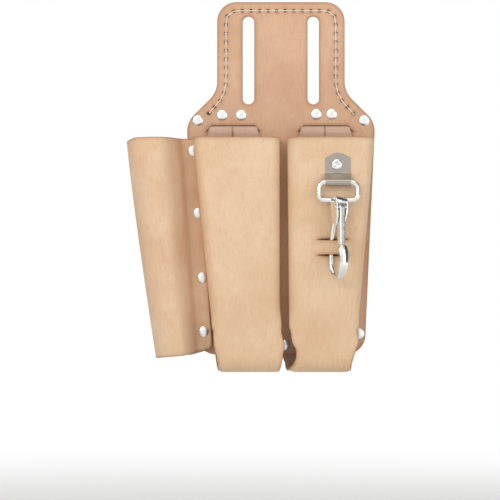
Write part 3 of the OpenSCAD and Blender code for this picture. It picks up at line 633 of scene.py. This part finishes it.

# --------------------------------------- right pliers pocket and keeper strap
# Its twin carries the snap. Two cuts across the front leave a keeper strap standing between
# them: the snap's shank is threaded behind it, so it bows out.

right_foot, right_top, right_leans, right_seam = (6.9, 66.0), (5.2, 80.0), (1.5, 4.5), 37.8
a, b, end_l, end_r, on_back = pocket_plan(right_foot, right_top, right_leans, right_seam)
right_blank = np.array(
    [(end_l + 0.04, GUSSET), (end_l + 0.04, -40), (on_back(0, 22.6), -40), (on_back(0, 18.8), -44), (on_back(0, 18.8), -56.6),
     (on_back(0, 16.6), -61.4), (on_back(0, 13.8), MOUTH - 0.5), (a, MOUTH), (40, MOUTH + 0.2), (b, MOUTH + 0.1), (b + 14, MOUTH),
     (on_back(1, 63.4), MOUTH - 0.5), (on_back(1, 60.6), -61.4), (on_back(1, 58.2), -56.6), (on_back(1, 58.2), -44), (on_back(1, 54.4), -40),
     (end_r - 0.04, -40), (end_r - 0.04, GUSSET), (66, GUSSET), (66.8, -242), (62.5, FOLD), (60.5, FOLD - 8), (60, FOLD - 22),
     (60, rear(-253)), (70, rear(-240)), (70, rear(-226)), (66, rear(-222)), (1, rear(-222)), (-2.9, rear(-226)), (-2.9, rear(-248)),
     (0.5, rear(-254)), (3.5, FOLD - 38), (4.5, FOLD - 30), (6, FOLD - 21), (8, FOLD - 13), (10.8, FOLD - 7),
     (12.4, FOLD - 3)] + [tuple(p) for p in arc(2, -252, 10.8, -6, 45, 9)] + [(6.9, GUSSET)])
STRAP_X, STRAP_Z = (31.0, 57.6), (-168.1, -154.8)
across = np.linspace(0, 1, 15)
gape = 0.55 * np.sin(math.pi * across) ** 0.7
keeper_cuts = [np.concatenate([np.stack([STRAP_X[0] + 26.6 * across, z + gape], 1),
                               np.stack([STRAP_X[0] + 26.6 * across, z - gape], 1)[-2:0:-1]]) for z in STRAP_Z]


def right_swell(x, z):
    """Up to 2 mm of belly left of the snap and below it; between the cuts the strap rises on a
    half sine to 7.2 mm."""
    t = (x - 36) / 36
    clear = 1 - np.exp(-((x - 48) / 16) ** 4 - ((z + 98) / 22) ** 4) - np.exp(-((x - 44) / 18) ** 4 - ((z + 161) / 24) ** 4)
    belly = 2.0 * np.clip(1 - t * t, 0, 1) * np.clip(clear, 0, 1) * ease((z - FOLD) / 60)
    s = np.clip((x - STRAP_X[0]) / (STRAP_X[1] - STRAP_X[0]), 0, 1)
    strap = 7.2 * np.sin(math.pi * s) ** 1.25
    held = (z > STRAP_Z[0]) & (z < STRAP_Z[1])
    waves = 0.25 * ripple(x, z, 12) * np.clip(clear, 0, 1) * ease((z - FOLD) / 14)
    return np.where(held & (s > 0) & (s < 1), strap, 0) + belly + waves


def cut_in_plan(cut):
    """Moves a cut drawn in x at its own height into the pocket's plan."""
    k = (cut[:, 1] - GUSSET) / (MOUTH - GUSSET)
    left, right = right_foot[0] + (right_top[0] - right_foot[0]) * k, right_foot[1] + (right_top[1] - right_foot[1]) * k
    u = right_foot[0] + 8 + (cut[:, 0] - left - 8) / (right - left - 16) * (right_foot[1] - right_foot[0] - 16)
    return np.stack([u, cut[:, 1]], 1)


right_pocket = blank_mesh("right_pocket_hide", [right_blank] + [cut_in_plan(cut) for cut in keeper_cuts],
                          pocket_face(right_foot, right_top, right_leans, right_seam, (6.9, 66.5), (7, 60.5), right_swell),
                          [pocket_grain, hide_edge, hide_flesh])
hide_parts("right_pliers_pocket", "keeper_strap")
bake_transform(right_pocket)

# --------------------------------------------------------- screwdriver sleeve
# One piece of 2.4 mm hide rolled into a tapering sleeve, open at both ends. Its front comes
# back over its rear layer as a flap, and four rivets take both layers through the panel.

SLEEVE_KNOTS = np.array([0.0, 40, 75, 117, 167, 181])


def curve(p0, p1, p2, p3, t):
    """Cubic Bézier: (1-t)³ p0 + 3t(1-t)² p1 + 3t²(1-t) p2 + t³ p3."""
    return p0 * (1 - t) ** 3 + 3 * p1 * t * (1 - t) ** 2 + 3 * p2 * t * t * (1 - t) + p3 * t ** 3


def sleeve_face(u, v):
    """Grain face of the sleeve. Along u it runs from the seam along the back, round the left side
    on two curves, over the front on a third and onto the flap; v is height. The left side and the
    flap's edge both lean in towards the foot."""
    down = np.clip((-68 - v) / 187, -0.03, 1.03)
    xl = -132.4 + 24.9 * np.maximum(down, 0) ** 1.15
    xe = -71.8 + 13.2 * down
    w = xe - xl
    yb, yf, y1 = -5.2, -10.0, -45.6 + 8 * np.clip(down, 0, 1)
    xm, ym, xf = xl + 0.44 * w - 2, yb + 0.52 * (y1 - yb), xe - 12
    t = [np.clip((u - lo) / (hi - lo), 0 if i else -1, 1 if i < 4 else 2)
         for i, (lo, hi) in enumerate(zip(SLEEVE_KNOTS[:-1], SLEEVE_KNOTS[1:]))]
    xs = [xe + (xl + 0.34 * w - xe) * t[0], curve(xl + 0.34 * w, xl + 0.12 * w, xl, xl, t[1]),
          curve(xl, xl, xl + 0.35 * (xm - xl), xm, t[2]), curve(xm, xm + 0.72 * (xf - xm), xf - 0.3 * (xf - xm), xf, t[3]), xf + (xe - xf) * t[4]]
    ys = [np.full(np.shape(u), yb), curve(yb, yb, yb + 0.35 * (ym - yb), ym, t[1]), curve(ym, ym + 0.6 * (y1 - ym), y1, y1, t[2]),
          curve(y1, y1, yf, yf, t[3]), np.full(np.shape(u), yf)]
    which = np.clip(np.searchsorted(SLEEVE_KNOTS, u, side="right") - 1, 0, 4)
    x, y = np.choose(which, xs), np.choose(which, ys)
    front = ease((u - 60) / 40) * (1 - ease((u - 150) / 16))
    y = y - front * 0.9 * ripple(u * 0.8, v, 21)
    y = y + dimples(x, v, sleeve_rivet_at, 0.5, 7.0) * (u > 150)
    lift = ease((u - 168) / 13) * (u > 150)
    y = y - lift * (0.25 + 0.25 * ripple(v * 1.4, u, 5)) * 1.2
    return x, y, v


foot = np.array([(181, -243.5), (180.4, -246.6), (178, -248.8), (170, -250.8), (160, -251.6), (145, -252.4), (117, -254.4), (92, -256.0),
                 (75, -256.4), (60, -255.6), (40, -255), (22, -254), (9, -251), (3, -247.5), (0, -243)])
mouth = np.array([(0, -68), (40, -68), (60, -69.6), (75, -71.4), (86, -70.2), (98, -68.0), (117, -67.5), (150, -67.7),
                  (178, -68), (181, -70)])
sleeve = blank_mesh("sleeve_hide", [np.concatenate([foot, mouth])], sleeve_face,
                    [grain_leather("sleeve_grain", tone(234, 206, 173), tone(222, 182, 146), tone(186, 134, 96)), hide_edge, hide_flesh])
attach(sleeve, "pouch")
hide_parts("screwdriver_sleeve")

# ------------------------------------------------------ snap plate and its rivet
# Strip of 1 mm steel, domed at the top, riveted flat to the right pocket. Its lower end comes
# forward and is rolled round the bar of the snap's loop. A tubular rivet holds it.

SNAP_X, PIVOT_Y, PIVOT_Z = 48.5, -35.6, -106.2
PLATE_BEND, PLATE_TOP, ROLL = -97.8, -80.7, 3.26
reach_y, reach_z = PIVOT_Y + 29.7, PIVOT_Z - PLATE_BEND
reach = math.hypot(reach_y, reach_z)
heading = math.atan2(reach_z, reach_y) - math.asin(2.76 / reach)
STRIP = math.sqrt(reach ** 2 - 2.76 ** 2)


def plate_face(u, v):
    """Front of the strip over its flat plan, v being distance down from the bend as a negative
    number. The side view is a straight drop, an eased turn, a slanted straight to the roll and an
    arc of radius ROLL about the bar."""
    s = -v
    turn = ease((s + 1.5) / 3)
    sy, sz = math.cos(heading), math.sin(heading)
    away_y, away_z = math.sin(heading), -math.cos(heading)
    y = -30.2 + turn * (sy * np.clip(s, 0, STRIP) + 0.5 + 0.5 * away_y)
    z = PLATE_BEND - np.where(s < 0, s, 0) + turn * (sz * np.clip(s, 0, STRIP) + 0.5 * away_z)
    start = math.atan2(away_z, away_y)
    angle = start + np.maximum(s - STRIP, 0) / ROLL
    y = np.where(s > STRIP, PIVOT_Y + ROLL * np.cos(angle), y)
    z = np.where(s > STRIP, PIVOT_Z + ROLL * np.sin(angle), z)
    return SNAP_X + u, y, z


def steel_finish():
    """Bright rolled steel gone a little grey: brushed lines along the strip, clouds, small stains."""
    f = Finish("plate_steel")
    at = f.add("TexCoord", out="Object")
    brush = f.noise(f.add("Mapping", {}, {"Vector": at, "Scale": (1, 0.06, 0.06)}), 2600, 3, 0.6)
    cloud = f.noise(at, 140, 4, 0.65)
    stain = f.add("MapRange", {}, {"Value": f.noise(at, 420, 4, 0.7), "From Min": 0.6, "From Max": 0.72})
    colour = f.blend((cloud * 0.5 + brush * 0.4 + stain * 0.3 - 0.1).clamped(), (0.53, 0.48, 0.42), (0.33, 0.3, 0.26))
    bump = f.add("Bump", {}, {"Strength": 0.2, "Distance": 0.0001, "Height": brush})
    return f.surface({"Base Color": colour, "Metallic": 1.0, "Roughness": 0.3 + brush * 0.2, "Normal": bump})


plate_end = -(STRIP + ROLL * math.radians(300))
plate_plan = np.concatenate([[(-10.9, plate_end), (10.9, plate_end), (10.9, PLATE_TOP - PLATE_BEND - 7.5)],
                             arc(7.9, PLATE_TOP - PLATE_BEND - 5.6, 3, 0, 38, 6), arc(0, PLATE_TOP - PLATE_BEND - 12, 12, 52, 128, 16),
                             arc(-7.9, PLATE_TOP - PLATE_BEND - 5.6, 3, 142, 180, 6), [(-10.9, PLATE_TOP - PLATE_BEND - 7.5)]])
points, faces, kind, plan, wear = cut_sheet([plate_plan], 1.0, plate_face, spacing=0.9, step=0.6, round_over=0.22)
plate = finished("hook_plate", points, faces, [steel_finish()], None, plan, wear)
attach(plate, "pouch")
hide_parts("snap_plate")

snap_nickel = nickel_finish("snap_nickel", (0.93, 0.93, 0.92), (0.70, 0.69, 0.67), 0.1, 0.24)
TUBE_RIVET = [(0, 0.42), (1.1, 0.44), (1.5, 0.55), (1.72, 0.9), (1.95, 1.3), (2.4, 1.6), (3.0, 1.72), (3.7, 1.6), (4.3, 1.22), (4.7, 0.7),
              (4.88, 0.2), (4.8, -0.02), (1.5, -0.05), (1.5, -4.2), (0, -4.2)]
for label, node, profile, y, way in (("tube_rivet", "plate_rivet", TUBE_RIVET, -30.2, -1), ("tube_rivet_washer", "plate_rivet_washer", WASHER, -26.0, 1)):
    piece = finished(label, *lathed(profile, 47.4, y, -90.7, way, 56), [snap_nickel])
    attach(piece, "pouch")
    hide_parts(node)

# ---------------------------------------------------------------- snap hook
# Nickel-plated malleable iron: a rectangular loop that turns in the plate's roll, a forked
# body, and a hook bent from one oval bar whose flattened nose meets the gate.

LEAN, TWIST = math.radians(-5.6), math.radians(32)


def hung(x, y, z):
    """From the snap's own axes: leant about the bar, then moved to it."""
    return (SNAP_X + x, PIVOT_Y + y * math.cos(LEAN) - z * math.sin(LEAN), PIVOT_Z + y * math.sin(LEAN) + z * math.cos(LEAN))


def hooked(n, u, v):
    """From the hook's measures, n across it, u forward and v down: turned about its length, then hung."""
    return hung(n * math.cos(TWIST) + u * math.sin(TWIST), n * math.sin(TWIST) - u * math.cos(TWIST), -v)


def through(knots, n):
    """Catmull-Rom curve through the knots, at n equal steps of their count."""
    knots = np.asarray(knots, float)
    at = np.linspace(0, len(knots) - 1, n)
    i = np.minimum(at.astype(int), len(knots) - 2)
    t = (at - i)[:, None]
    end = len(knots) - 1
    a, b, c, d = knots[np.maximum(i - 1, 0)], knots[i], knots[i + 1], knots[np.minimum(i + 2, end)]
    return 0.5 * (2 * b + (c - a) * t + (2 * a - 5 * b + 4 * c - d) * t ** 2 + (3 * b - a - 3 * c + d) * t ** 3)


corner = [arc(11.55, -5, 5, 90, 0, 12), arc(11.55, -10.3, 5, 0, -90, 12), arc(-11.55, -10.3, 5, 270, 180, 12), arc(-11.55, -5, 5, 180, 90, 12)]
loop_flat = subdivided(np.concatenate(corner), 1.2)
way = np.roll(loop_flat, -1, 0) - np.roll(loop_flat, 1, 0)
way /= np.linalg.norm(way, axis=1)[:, None]
zero = np.zeros(len(loop_flat))
centre = np.stack(hung(loop_flat[:, 0], zero, loop_flat[:, 1]), 1)
out_dir = np.stack(hung(-way[:, 1], zero, way[:, 0]), 1) - np.stack(hung(zero, zero, zero), 1)
fore_dir = np.stack(hung(zero, zero - 1, zero), 1) - np.stack(hung(zero, zero, zero), 1)
loop_part = swept(centre, out_dir, fore_dir, 2.2, 2.2, 22, closed=True)

share = np.linspace(0, 1, 11)[:10, None]
bow = np.radians(180 * np.arange(1, 16) / 16)
hook_knots = np.concatenate([curve(np.array([-1.0, 16]), np.array([-2.5, 30]), np.array([-11.4, 42]), np.array([-11.2, 60]), share),
                             [(-11.2, 60)], np.stack([-1.3 - 9.9 * np.cos(bow), 66 + 15.4 * np.sin(bow)], 1),
                             [(8.5, 64), (8.3, 60.5), (8.0, 57.5), (7.8, 55.2), (7.7, 54.2)]])
k = np.arange(27)
bar_half = np.concatenate([np.stack([np.where(k < 11, 1.9, np.minimum(1.9 + 0.7 * (k - 11) / 8, 2.6)),
                                     np.where(k < 11, 2.1, np.where(k < 19, 2.1 + 0.7 * (k - 11) / 8, 2.8 + 2.2 * (k - 19) / 8))], 1),
                           [(2.4, 4.9), (2.2, 4.5), (1.9, 3.7), (1.4, 2.4)]])
spine, halves = through(hook_knots, 190), through(bar_half, 190)
halves *= np.sqrt(np.clip((189.9 - np.arange(190)) / 5, 0.05, 1))[:, None]
run = np.gradient(spine, axis=0)
run /= np.linalg.norm(run, axis=1)[:, None]
zero = np.zeros(190)
origin = np.stack(hooked(zero, zero, zero), 1)
hook_part = swept(np.stack(hooked(zero, spine[:, 0], spine[:, 1]), 1), np.stack(hooked(zero, -run[:, 1], run[:, 0]), 1) - origin,
                  np.stack(hooked(zero + 1, zero, zero), 1) - origin, halves[:, 0], halves[:, 1], 26)


def fork_side(n, spread=0.0):
    """Plate in the hook's plane, its face at n looking to negative n. Nearer the bar than 36 mm it
    bows out by up to spread."""
    return lambda u, v: hooked(n + spread * (1 - ease((-v - 17) / 19)), u, -v)


cheek = through([(-3.3, -14), (-3.2, -18), (-3.4, -24), (-3.7, -30), (-1.6, -35), (2.0, -37.4), (4.4, -34), (6.2, -28), (7.0, -22), (6.6, -17),
                 (4.2, -13.6), (0.4, -12.6), (-3.3, -14)], 61)[:-1]
cheeks = [cut_sheet([cheek], 1.7, fork_side(n, 1.7 if n > 0 else -1.7), spacing=1.0, step=0.6, round_over=0.6)[:2] for n in (-4.6, 2.9)]
yoke_knots = through([(-3.3, -22), (-3.5, -17), (-2.0, -13.2), (1.6, -12.2), (5.0, -13.2), (6.2, -16.4), (4.8, -18.8), (1.6, -18.2),
                      (-0.4, -19.4), (-0.8, -21.4), (-2.0, -22.3), (-3.3, -22)], 34)[:-1]
yoke = cut_sheet([yoke_knots], 11.6, fork_side(-5.8), spacing=1.0, step=0.6, round_over=0.4)[:2]
snap = finished("snap_casting", *joined([loop_part, hook_part, yoke] + cheeks), [snap_nickel])
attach(snap, "snap")
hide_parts("snap_body")

# ------------------------------------------------------- gate, pin and spring
# The gate is folded from 0.7 mm nickel-plated steel: a channel with its open side to the rear,
# turning on a pin through the cheeks. A torsion spring holds it to the nose: its coils lie round
# the pin, with one straight leg.


def gate_strip(u, v):
    """Front of the channel: up the straight face and over the top on a 2.4 mm half circle about the
    pin; u is across it and v the distance along it from the foot."""
    top = 53.4 - 21.5
    angle = np.clip((v - top) / 2.4, 0, 2.6)
    return hooked(u, 4.4 + 2.4 * np.cos(angle), 21.5 - 2.4 * np.sin(angle) + np.maximum(top - v, 0))


wall = np.concatenate([[(3.4, -53.4), (6.7, -53.4)], arc(4.4, -21.5, 2.3, 0, 180, 14), [(2.2, -30), (2.2, -49.4)]])
strip = cut_sheet([np.array([(-2.5, 0.4), (-2.1, 0), (2.1, 0), (2.5, 0.4), (2.5, 36), (2, 36.6), (-2, 36.6), (-2.5, 36)])], 0.7, gate_strip,
                  spacing=0.8, step=0.5, round_over=0.2)[:2]
walls = [cut_sheet([wall], 0.7, fork_side(n), spacing=0.8, step=0.5, round_over=0.25)[:2] for n in (-2.6, 1.9)]
gate = finished("gate_channel", *joined([strip] + walls), [snap_nickel])
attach(gate, "gate")
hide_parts("gate")

n = np.array([-6.9, -6.8, -6.5, -6.3, 6.3, 6.5, 6.8, 6.9])
radius = np.array([0.9, 1.3, 1.45, 1.15, 1.15, 1.45, 1.3, 0.9])
zero = np.zeros(8)
origin = np.stack(hooked(zero, zero, zero), 1)
pin = finished("gate_axle", *swept(np.stack(hooked(n, zero + 4.4, zero + 21.5), 1), np.stack(hooked(zero, zero + 1, zero), 1) - origin,
                                   np.stack(hooked(zero, zero, zero + 1), 1) - origin, radius, radius, 28), [snap_nickel])
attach(pin, "snap")
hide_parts("gate_pin")

t = np.linspace(0, 5.25 * 2 * math.pi, 190)
coil = np.stack([np.linspace(-1.45, 1.45, 190), 4.4 + 1.42 * np.cos(t), 21.5 + 1.42 * np.sin(t)], 1)
leg = np.stack([np.full(14, 1.45), np.linspace(4.6, 5.7, 14), np.linspace(23.2, 33, 14)], 1)
wire = np.concatenate([coil, leg])
path = np.stack(hooked(wire[:, 0], wire[:, 1], wire[:, 2]), 1)
run = np.gradient(path, axis=0)
run /= np.linalg.norm(run, axis=1)[:, None]
aside = np.cross(run, np.array(hooked(1, 0, 0)) - hooked(0, 0, 0))
aside /= np.linalg.norm(aside, axis=1)[:, None]
spring = finished("gate_torsion_spring", *swept(path, aside, np.cross(run, aside), 0.2, 0.2, 8),
                  [nickel_finish("spring_steel", (0.62, 0.61, 0.6), (0.4, 0.39, 0.38), 0.25, 0.4)])
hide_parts("gate_spring")
bend_from, bend_to = (tuple(np.array(hooked(1.45, 5.0, v)) / 1000) for v in (23.1, 23.9))
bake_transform(spring)

# ------------------------------------------------------------------- studio
# Pale round floor well below the pouch that fades into a white surround, one large soft key
# from the upper left, weaker ones from the right, above and behind, and a long lens square on.


def floor_finish():
    """Pale matt paper that eases to the surround's brightness between 0.3 m and 1.3 m out."""
    f = Finish("floor_paper")
    at = f.add("TexCoord", out="Object")
    away = f.add("VectorMath", {"operation": "LENGTH"}, {0: at}, 1)
    fade = f.add("MapRange", {"interpolation_type": "SMOOTHSTEP"}, {"Value": away, "From Min": 0.3, "From Max": 1.3})
    paper = f.add("BsdfDiffuse", {}, {"Color": (0.9, 0.9, 0.89, 1)})
    glow = f.add("Emission", {}, {"Color": (1, 1, 1, 1), "Strength": 1.0})
    both = f.add("MixShader", {}, {0: fade, 1: paper, 2: glow})
    f.tree.links.new(both.socket, f.tree.nodes.new("ShaderNodeOutputMaterial").inputs[0])
    return f.material


t, r = np.meshgrid(np.linspace(0, 2 * math.pi, 97)[:96], np.linspace(0.001, 6000, 9))
disc = np.stack([r * np.cos(t), r * np.sin(t), np.full(r.shape, -420.0)], 2).reshape(-1, 3)
i, j = np.meshgrid(np.arange(8), np.arange(96), indexing="ij")
quads = np.stack([i * 96 + j, (i + 1) * 96 + j, (i + 1) * 96 + (j + 1) % 96, i * 96 + (j + 1) % 96], 2).reshape(-1, 4)
finished("floor", disc, quads.tolist(), [floor_finish()])


def soft_light(name, place, aim, size, power, colour=(1, 1, 1)):
    """Rectangular lamp at place, turned to face aim."""
    lamp = bpy.data.lights.new(name, "AREA")
    lamp.shape, lamp.size, lamp.size_y, lamp.energy, lamp.color = "RECTANGLE", size[0], size[1], power, colour
    stand = bpy.data.objects.new(name, lamp)
    stand.location = place
    stand.rotation_euler = (Vector(aim) - Vector(place)).to_track_quat("-Z", "Y").to_euler()
    bpy.context.scene.collection.objects.link(stand)


soft_light("key", (-0.95, -1.25, 0.62), (-0.02, 0, -0.12), (0.7, 0.9), 6.6)
soft_light("fill", (1.3, -1.1, 0.1), (-0.02, 0, -0.12), (0.8, 1.0), 4.2)
soft_light("top", (0.05, -0.45, 0.95), (-0.02, -0.02, -0.12), (1.1, 0.6), 3.2)
soft_light("back", (0.3, 1.5, 0.6), (-0.02, 0, -0.12), (1.2, 1.0), 8.0)

world = bpy.data.worlds.new("surround")
world.use_nodes = True
bpy.context.scene.world = world
sky = world.node_tree
sky.nodes.clear()
seen, lit, mix = sky.nodes.new("ShaderNodeBackground"), sky.nodes.new("ShaderNodeBackground"), sky.nodes.new("ShaderNodeMixShader")
ray, end = sky.nodes.new("ShaderNodeLightPath"), sky.nodes.new("ShaderNodeOutputWorld")
coord, split, ramp = sky.nodes.new("ShaderNodeTexCoord"), sky.nodes.new("ShaderNodeSeparateXYZ"), sky.nodes.new("ShaderNodeValToRGB")
seen.inputs["Color"].default_value, seen.inputs["Strength"].default_value = (1, 1, 1, 1), 1.0
GREYS = ((0.0, 0.9), (0.08, 1.0), (0.18, 0.85), (0.27, 0.35), (0.4, 0.06), (0.56, 0.05), (0.72, 0.35), (1.0, 0.8))
while len(ramp.color_ramp.elements) < len(GREYS):
    ramp.color_ramp.elements.new(0.5)
for stop, (place, grey) in zip(ramp.color_ramp.elements, GREYS):
    stop.position, stop.color = place, (grey, grey, grey, 1)
depth, height = sky.nodes.new("ShaderNodeMath"), sky.nodes.new("ShaderNodeMath")
depth.operation = height.operation = "MULTIPLY_ADD"
depth.inputs[1].default_value, depth.inputs[2].default_value = 0.5, 0.5
height.inputs[1].default_value, height.inputs[2].default_value = 0.28, 0.82
for a, b in ((coord.outputs["Generated"], split.inputs[0]), (split.outputs["Y"], depth.inputs[0]), (depth.outputs[0], ramp.inputs[0]),
             (split.outputs["Z"], height.inputs[0]), (height.outputs[0], lit.inputs["Strength"]), (ramp.outputs[0], lit.inputs["Color"]),
             (ray.outputs["Is Camera Ray"], mix.inputs[0]), (lit.outputs[0], mix.inputs[1]), (seen.outputs[0], mix.inputs[2]),
             (mix.outputs[0], end.inputs[0])):
    sky.links.new(a, b)
bpy.context.scene.view_settings.view_transform = "Standard"

lens = bpy.data.cameras.new("long_lens")
lens.lens, lens.sensor_width, lens.clip_end = 200, 36, 30
camera = bpy.data.objects.new("long_lens", lens)
camera.location = (-0.0267, -0.015 - 0.43 * 200 / 36, -0.1638)
camera.rotation_euler = (math.pi / 2, 0, 0)
bpy.context.scene.collection.objects.link(camera)
bpy.context.scene.camera = camera
